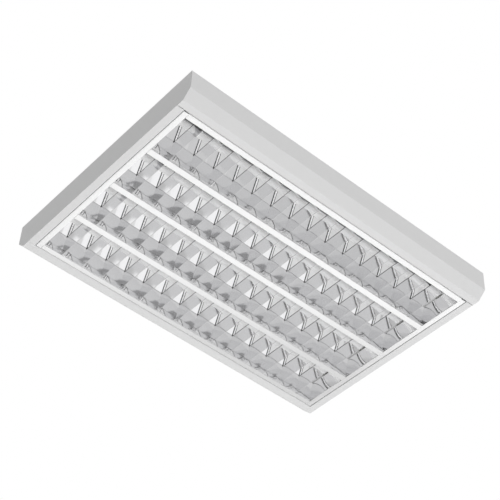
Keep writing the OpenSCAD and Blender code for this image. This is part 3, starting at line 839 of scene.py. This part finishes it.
@dataclass
class MirrorLouvre:
    """Four rows of curved mirrors with cross blades, in one frame that swings on its hinge.

    Attributes:
        row_pitch: Distance between two rows.
        aperture: Clear width of a row at the bottom.
        strip: Width of the flat strips between the rows.
        edge_strip: Width of the flat strips along the outer rows.
        end_strip: Width of the flat strips across the ends.
        height: Height of the louvre.
        bottom: Height of the bottom plane in the frame.
        lean: How far a long mirror leans in at its top.
        end_lean: How far an end mirror leans in at its top.
        end_fold: Height of the fold that carries the end mirrors.
        foil: Thickness of the sheet.
        length: Length of the louvre.
        rim: Height of its outer edge.
        cell: Distance between two cross blades.
        blade_edge: Width of a blade at its lower edge.
        blade_top: Width of a blade at its top.
        blade_seam: Seam between the two edges folded in over a blade.
        blade_foil: Thickness of a blade's sheet.
        play: Gap between a blade or an end mirror and the long mirrors beside it.
        blade_bend: Radius of the bends of a blade.
        blade_bend_steps: Straight steps in each of them.
        bend: Radius of the bends of a mirror sheet.
        curve_steps: Straight steps in a mirror's curve.
        blades: Number of blades in a row.
        rows: Number of rows.
        folder: Folds the sheets.
    """

    row_pitch: float = 0.1385
    aperture: float = 0.122
    strip: float = 0.0165
    edge_strip: float = 0.01375
    end_strip: float = 0.014
    height: float = 0.048
    bottom: float = -0.082
    lean: float = 0.0175
    end_lean: float = 0.006
    end_fold: float = 0.003
    foil: float = 0.0005
    length: float = 0.898
    rim: float = 0.014
    cell: float = 0.059
    blade_edge: float = 0.001
    blade_top: float = 0.0074
    blade_seam: float = 0.0006
    blade_foil: float = 0.0003
    play: float = 0.0001
    blade_bend: float = 0.0004
    blade_bend_steps: int = 4
    bend: float = 0.0011
    curve_steps: int = 28
    blades: int = 14
    rows: int = 4
    folder: SheetFolder = field(default_factory=SheetFolder)

    @property
    def inner_length(self) -> float:
        """Length between the end mirrors."""
        return self.length - 2 * self.end_strip

    @property
    def width(self) -> float:
        """Width of the whole louvre."""
        return self.rows * self.aperture + (self.rows - 1) * self.strip + 2 * self.edge_strip

    def row_y(self, row: int) -> float:
        """Returns the middle of a row, counted from 1."""
        return (row - (self.rows + 1) / 2) * self.row_pitch

    def lean_at(self, height: float) -> float:
        """Returns how far a long mirror has leaned in at a height."""
        return self.lean * (height / self.height) ** 2

    def row_width(self, height: float) -> float:
        """Returns the width of a sheet that fits across a row at a height."""
        return self.aperture - 2 * self.play - 2 * self.lean_at(height)

    def heights(self, start: float = 0.0) -> list[float]:
        """Returns the heights of a curve's points above its start."""
        return [start + (self.height - start) * k / self.curve_steps for k in range(1, self.curve_steps + 1)]

    def wall(self, foot: float, sign: int) -> list[Point]:
        """Returns the points of a long mirror above its foot, leaning towards the sign."""
        return [(foot + sign * self.lean_at(h), h) for h in self.heights()]

    def long_sheet(self, name: str, path: Sequence[Point], y: float, face: Vector) -> bpy.types.Object:
        """Folds a sheet that runs along the rows, between the end mirrors.

        Args:
            name: Name of the piece.
            path: Points of its visible face, as distance and height.
            y: Where the distances are measured from.
            face: Direction that the visible face of the first strip looks in.

        Returns:
            The sheet.
        """
        return self.folder.fold(name, rounded(path, self.bend), self.inner_length - 2 * self.play, Along.ROWS,
                                Vector((0.0, y, self.bottom)), self.foil, face)

    def divider(self, place: Between) -> bpy.types.Object:
        """Folds the double mirror between two rows, open at its top.

        Args:
            place: The place between two rows.

        Returns:
            The divider.
        """
        half = self.strip / 2
        path = list(reversed(self.wall(-half, -1))) + [(-half, 0.0), (half, 0.0)] + self.wall(half, 1)
        return self.long_sheet(f"divider_mirror_{place.name.lower()}", path, place.value * self.row_pitch,
                               Vector((0, -1, 0)))

    def side_mirror(self, side: Side) -> bpy.types.Object:
        """Folds the mirror along one long side: outer rim, flat strip and curved wall.

        Args:
            side: The long side.

        Returns:
            The side mirror.
        """
        outer = self.width / 2
        path = [(-outer, self.rim), (-outer, 0.0), (-outer + self.edge_strip, 0.0)]
        path += self.wall(-outer + self.edge_strip, 1)
        placed = [(-side.value * u, h) for u, h in path]
        return self.long_sheet(f"side_mirror_{side.name.lower()}", placed, 0.0, Vector((0, side.value, 0)))

    def end_mirror(self, end: End) -> bpy.types.Object:
        """Folds the strip across one end and the four leaning mirrors over it.

        Args:
            end: The end.

        Returns:
            The end mirror.
        """
        sign, outer, inner = end.value, self.length / 2, self.inner_length / 2
        frame_path = [(outer, self.rim), (outer, 0.0), (inner, 0.0), (inner, self.end_fold)]
        pieces = [self.folder.fold("end_frame", rounded([(sign * u, h) for u, h in frame_path], self.bend), self.width,
                                   Along.ACROSS, Vector((0.0, 0.0, self.bottom)), self.foil, Vector((sign, 0, 0)))]
        rise = self.height - self.end_fold
        curve = [(inner, self.end_fold - self.foil)]
        curve += [(inner - self.end_lean * ((h - self.end_fold) / rise) ** 2, h) for h in self.heights(self.end_fold)]
        widths = [self.row_width(h) for _, h in curve]
        for row in range(1, self.rows + 1):
            pieces.append(self.folder.fold("end_wall", [(sign * u, h) for u, h in curve], widths, Along.ACROSS,
                                           Vector((0.0, self.row_y(row), self.bottom)), self.foil,
                                           Vector((-sign, 0, 0))))
        return joined(pieces, f"end_mirror_{end.name.lower()}")

    def blade(self) -> bpy.types.Object:
        """Folds one cross blade, a slim V with its edges turned in over the top.

        Returns:
            The blade, in the middle of the first row.
        """
        half_edge, half_top = self.blade_edge / 2, self.blade_top / 2
        wall = [(half_edge + (half_top - half_edge) * (h / self.height) ** 2, h) for h in self.heights()]
        half = [(half_edge, 0.0)] + wall + [(self.blade_seam / 2, self.height)]
        path = rounded([(-u, h) for u, h in reversed(half)] + half, self.blade_bend, steps=self.blade_bend_steps)
        widths = [self.row_width(max(h, 0.0)) for _, h in path]
        return self.folder.fold("blade", path, widths, Along.ACROSS, Vector((0.0, self.row_y(1), self.bottom)),
                                self.blade_foil, Vector((0, 0, 1)))

    def blade_row(self, first: bpy.types.Object, row: int) -> bpy.types.Object:
        """Copies the blade to all its places in a row.

        Args:
            first: The blade in the middle of the first row.
            row: The row, from 1.

        Returns:
            The blades of the row as one piece.
        """
        copies = []
        for k in range(self.blades):
            shift = Vector(((k - (self.blades - 1) / 2) * self.cell, self.row_y(row) - self.row_y(1), 0.0))
            copies.append(copy_at(first, "blade_copy", shift))
        return joined(copies, f"blades_row_{row}")

    def build(self, finishes: Finishes) -> list[bpy.types.Object]:
        """Makes all the mirrors and blades, and lets them stand for their CAD nodes.

        Args:
            finishes: The finishes of the light.

        Returns:
            The new pieces.
        """
        made: list[tuple[bpy.types.Object, str, str]] = []
        for side in Side:
            made.append((self.side_mirror(side), f"side_reflector_{side.name.lower()}", "bright_aluminium"))
        for end in End:
            made.append((self.end_mirror(end), f"end_reflector_{end.name.lower()}", "bright_aluminium"))
        for place in Between:
            made.append((self.divider(place), f"divider_{place.name.lower()}", "bright_aluminium"))
        first = self.blade()
        for row in range(1, self.rows + 1):
            made.append((self.blade_row(first, row), f"cross_blades_row_{row}", "blade_aluminium"))
        bpy.data.objects.remove(first)
        for piece, node, finish in made:
            finishes.dress(piece, finish)
            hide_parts(node)
            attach(piece, "louvre")
            log.info("%s stands for %s, %d faces", piece.name, node, len(piece.data.polygons))
        return [piece for piece, _, _ in made]


# Lamps


@dataclass
class LampSet:
    """The four tubes, turned as smooth frosted glass.

    Attributes:
        diameter: Diameter of the glass.
        wall: Thickness of the glass.
        length: Length of the glass between the closed faces of its caps.
        axis: Height of the lamps' axes in the frame.
        sides: Facets around the glass.
        louvre: The louvre, whose rows the lamps lie in.
    """

    diameter: float = 0.016
    wall: float = 0.0008
    length: float = 0.8448
    axis: float = -0.017
    sides: int = 96
    louvre: MirrorLouvre = field(default_factory=MirrorLouvre)

    def glass(self, row: int) -> bpy.types.Object:
        """Turns the glass of one row.

        Args:
            row: The row, from 1.

        Returns:
            The tube of glass, open at both ends, where the caps cover it.
        """
        deselect_all()
        bpy.ops.mesh.primitive_cylinder_add(vertices=self.sides, radius=self.diameter / 2, depth=self.length,
                                            end_fill_type="NOTHING", location=(0.0, self.louvre.row_y(row), self.axis),
                                            rotation=(0.0, math.pi / 2, 0.0))
        piece = bpy.context.active_object
        piece.name = piece.data.name = f"glass_{row}"
        bpy.ops.object.transform_apply(location=True, rotation=True, scale=True)
        wall = piece.modifiers.new("wall", "SOLIDIFY")
        wall.thickness = self.wall
        wall.offset = -1.0
        bpy.ops.object.modifier_apply(modifier=wall.name)
        bpy.ops.object.shade_smooth_by_angle(angle=math.radians(self.louvre.folder.smooth_below))
        return piece

    def build(self, finishes: Finishes) -> list[bpy.types.Object]:
        """Makes the glass of each lamp, and lets it stand for its CAD node.

        Args:
            finishes: The finishes of the light.

        Returns:
            The new pieces.
        """
        made = []
        for row in range(1, self.louvre.rows + 1):
            piece = self.glass(row)
            finishes.dress(piece, "frosted_glass")
            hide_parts(f"tube_{row}")
            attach(piece, f"lamp_{row}")
            log.info("%s stands for tube_%d", piece.name, row)
            made.append(piece)
        return made


# Studio


@dataclass(frozen=True)
class Spot:
    """A part of the room that the mirrors see darker or brighter than the rest.

    Attributes:
        towards: Direction of its middle.
        outer: Angle from its middle at which it begins, in degrees.
        inner: Angle within which it is full.
        share: Its level as a share of the level round it.
    """

    towards: Triple
    outer: float
    inner: float
    share: float


@dataclass(frozen=True)
class Card:
    """A level card that only the mirrors see.

    Attributes:
        name: Name of the card.
        corner: Its corner with the least x and y.
        opposite: Its opposite corner.
        height: Its height.
        level: Level that the mirrors see.
    """

    name: str
    corner: Point
    opposite: Point
    height: float
    level: float


@dataclass
class Studio:
    """Pale floor, soft light and the camera of the photograph.

    Attributes:
        camera_at: Place of the camera.
        camera_turn: Turn of the camera in degrees.
        lens: Focal length.
        sensor: Width of the sensor.
        near_and_far: Nearest and farthest distance that the camera sees.
        floor_z: Height of the floor.
        floor_size: Length of its sides.
        floor_level: Level of its colour.
        floor_rough: Its roughness.
        floor_white: Share of plain white that the camera sees on it.
        room: Level of the room's diffuse light from below, from the horizon and from above.
        lean: How much brighter the room is towards +X and towards +Y.
        mirrored: Level that the mirrors see below, at the horizon and above.
        spots: Darker and brighter parts of the room that the mirrors see.
        cards: Cards that only the mirrors see.
        lamp_at: Place of the soft light.
        lamp_size: Length of its sides.
        lamp_power: Its power in watts.
    """

    camera_at: Triple = (-1.56801, -1.90618, -2.45252)
    camera_turn: Triple = (134.84851, -1.8977, -41.05302)
    lens: float = 100.959
    sensor: float = 36.0
    near_and_far: Point = (0.05, 60.0)
    floor_z: float = -4.6
    floor_size: float = 9.4
    floor_level: float = 0.9
    floor_rough: float = 0.8
    floor_white: float = 0.95
    room: Triple = (0.9, 0.67, 1.0)
    lean: Point = (0.6, 0.0)
    mirrored: Triple = (0.76, 0.65, 1.0)
    spots: tuple[Spot, ...] = (
        Spot((-0.28, -0.5, -0.82), 14.0, 7.0, 1.42), Spot((-0.58, -0.38, -0.72), 12.0, 5.0, 0.77),
        Spot((0.24, -0.02, -0.97), 9.0, 5.0, 0.6), Spot((0.4, -0.52, -0.75), 7.0, 3.0, 1.15))
    cards: tuple[Card, ...] = (
        Card("card_dark", (0.45, 0.95), (1.7, 2.7), -2.64, 0.37),
        Card("card_plain", (-0.5, -0.3), (0.5, -0.145), -0.11, 0.69))
    lamp_at: Triple = (0.8, -0.6, -4.2)
    lamp_size: float = 3.0
    lamp_power: float = 48.0

    def camera(self) -> None:
        """Places the camera and makes it the scene's own."""
        data = bpy.data.cameras.new("camera")
        data.sensor_width = self.sensor
        data.lens = self.lens
        data.clip_start, data.clip_end = self.near_and_far
        camera = bpy.data.objects.new("camera", data)
        bpy.context.scene.collection.objects.link(camera)
        camera.location = self.camera_at
        camera.rotation_euler = [math.radians(turn) for turn in self.camera_turn]
        bpy.context.scene.camera = camera

    def floor(self) -> None:
        """Lays the pale floor far under the light."""
        deselect_all()
        bpy.ops.mesh.primitive_plane_add(size=self.floor_size, location=(0.0, 0.0, self.floor_z))
        floor = bpy.context.active_object
        floor.name = "floor"
        floor.visible_glossy = False
        material = bpy.data.materials.new("pale_floor")
        material.use_nodes = True
        nodes, bench = material.node_tree.nodes, NodeBench(material.node_tree)
        plain = nodes["Principled BSDF"]
        plain.inputs["Base Color"].default_value = grey(self.floor_level)
        plain.inputs["Roughness"].default_value = self.floor_rough
        white = bench.add("ShaderNodeEmission")
        white.inputs["Strength"].default_value = 1.0
        path = bench.add("ShaderNodeLightPath").outputs
        seen = bench.reckon("MAXIMUM", path["Is Camera Ray"], path["Is Transmission Ray"])
        both = bench.add("ShaderNodeMixShader")
        bench.feed(both.inputs["Fac"], bench.reckon("MULTIPLY", seen, self.floor_white))
        bench.feed(both.inputs[1], plain.outputs[0])
        bench.feed(both.inputs[2], white.outputs[0])
        bench.feed(nodes["Material Output"].inputs["Surface"], both.outputs[0])
        floor.data.materials.append(material)

    def hang(self, made: Card) -> None:
        """Hangs a card where only the mirrors see it.

        Args:
            made: The card as it is made.
        """
        deselect_all()
        (x0, y0), (x1, y1) = made.corner, made.opposite
        bpy.ops.mesh.primitive_plane_add(size=1.0, location=((x0 + x1) / 2, (y0 + y1) / 2, made.height))
        card = bpy.context.active_object
        card.name = made.name
        card.scale = (x1 - x0, y1 - y0, 1.0)
        card.visible_camera = card.visible_diffuse = card.visible_shadow = card.visible_transmission = False
        material = bpy.data.materials.new(made.name)
        material.use_nodes = True
        nodes, bench = material.node_tree.nodes, NodeBench(material.node_tree)
        flat = bench.add("ShaderNodeEmission")
        flat.inputs["Color"].default_value = grey(made.level)
        bench.feed(nodes["Material Output"].inputs["Surface"], flat.outputs[0])
        card.data.materials.append(material)

    def sky(self, bench: NodeBench, levels: Triple, lean: Point = (0.0, 0.0),
            spots: Sequence[Spot] = ()) -> bpy.types.NodeSocket:
        """Makes a background whose level changes with the direction that it is seen in.

        Args:
            bench: The world's nodes.
            levels: Level straight below, at the horizon and straight above.
            lean: How much brighter it is towards +X and towards +Y.
            spots: Darker and brighter parts.

        Returns:
            The background's output.
        """
        light = bench.add("ShaderNodeBackground")
        towards = bench.add("ShaderNodeTexCoord").outputs["Generated"]
        ramp = bench.add("ShaderNodeValToRGB")
        stops, horizon = ramp.color_ramp.elements, 0.5
        stops.new(horizon)
        for stop, level in zip(stops, levels):
            stop.color = grey(level)
        bench.feed(ramp.inputs["Fac"], bench.spread(bench.parts(towards)["Z"], -1.0, 1.0))
        bench.feed(light.inputs["Color"], ramp.outputs["Color"])
        strength = bench.reckon("ADD", bench.vectors("DOT_PRODUCT", towards, (*lean, 0.0))["Value"], 1.0)
        for spot in spots:
            near = bench.vectors("DOT_PRODUCT", towards, tuple(Vector(spot.towards).normalized()))["Value"]
            outer, inner = (math.cos(math.radians(angle)) for angle in (spot.outer, spot.inner))
            share = bench.spread(near, outer, inner, 1.0, spot.share, smooth=True)
            strength = bench.reckon("MULTIPLY", strength, share)
        bench.feed(light.inputs["Strength"], strength)
        return light.outputs[0]

    def world(self) -> None:
        """Fills the room with soft light, least of it from the horizon, and shows white to the camera."""
        world = bpy.data.worlds.new("room")
        bpy.context.scene.world = world
        world.use_nodes = True
        nodes, bench = world.node_tree.nodes, NodeBench(world.node_tree)
        path = bench.add("ShaderNodeLightPath").outputs
        gloss = bench.add("ShaderNodeMixShader")
        bench.feed(gloss.inputs["Fac"], path["Is Glossy Ray"])
        bench.feed(gloss.inputs[1], self.sky(bench, self.room, lean=self.lean))
        bench.feed(gloss.inputs[2], self.sky(bench, self.mirrored, spots=self.spots))
        white = nodes["Background"]
        white.inputs["Color"].default_value = WHITE
        seen = bench.add("ShaderNodeMixShader")
        bench.feed(seen.inputs["Fac"], path["Is Camera Ray"])
        bench.feed(seen.inputs[1], gloss.outputs[0])
        bench.feed(seen.inputs[2], white.outputs[0])
        bench.feed(nodes["World Output"].inputs["Surface"], seen.outputs[0])

    def soft_light(self) -> None:
        """Hangs a square soft light that shines at the middle of the ceiling light."""
        data = bpy.data.lights.new("soft_below", "AREA")
        data.size = self.lamp_size
        data.energy = self.lamp_power
        lamp = bpy.data.objects.new("soft_below", data)
        bpy.context.scene.collection.objects.link(lamp)
        lamp.location = self.lamp_at
        lamp.rotation_euler = Vector(self.lamp_at).to_track_quat("Z", "Y").to_euler()
        lamp.visible_glossy = False

    def build(self) -> None:
        """Sets up the whole studio."""
        bpy.context.scene.view_settings.view_transform = "Standard"
        self.camera()
        self.floor()
        self.world()
        for card in self.cards:
            self.hang(card)
        self.soft_light()


def main() -> None:
    """Builds the light and its studio."""
    logging.basicConfig(level=logging.INFO, format="%(name)s: %(message)s")
    finishes = Finishes()
    finishes.dress_nodes()
    louvre = MirrorLouvre()
    pieces = louvre.build(finishes)
    pieces += LampSet(louvre=louvre).build(finishes)
    Studio().build()
    log.info("%d new pieces over %d CAD nodes", len(pieces), len(frame["nodes"]))


if __name__ == "__main__":
    main()
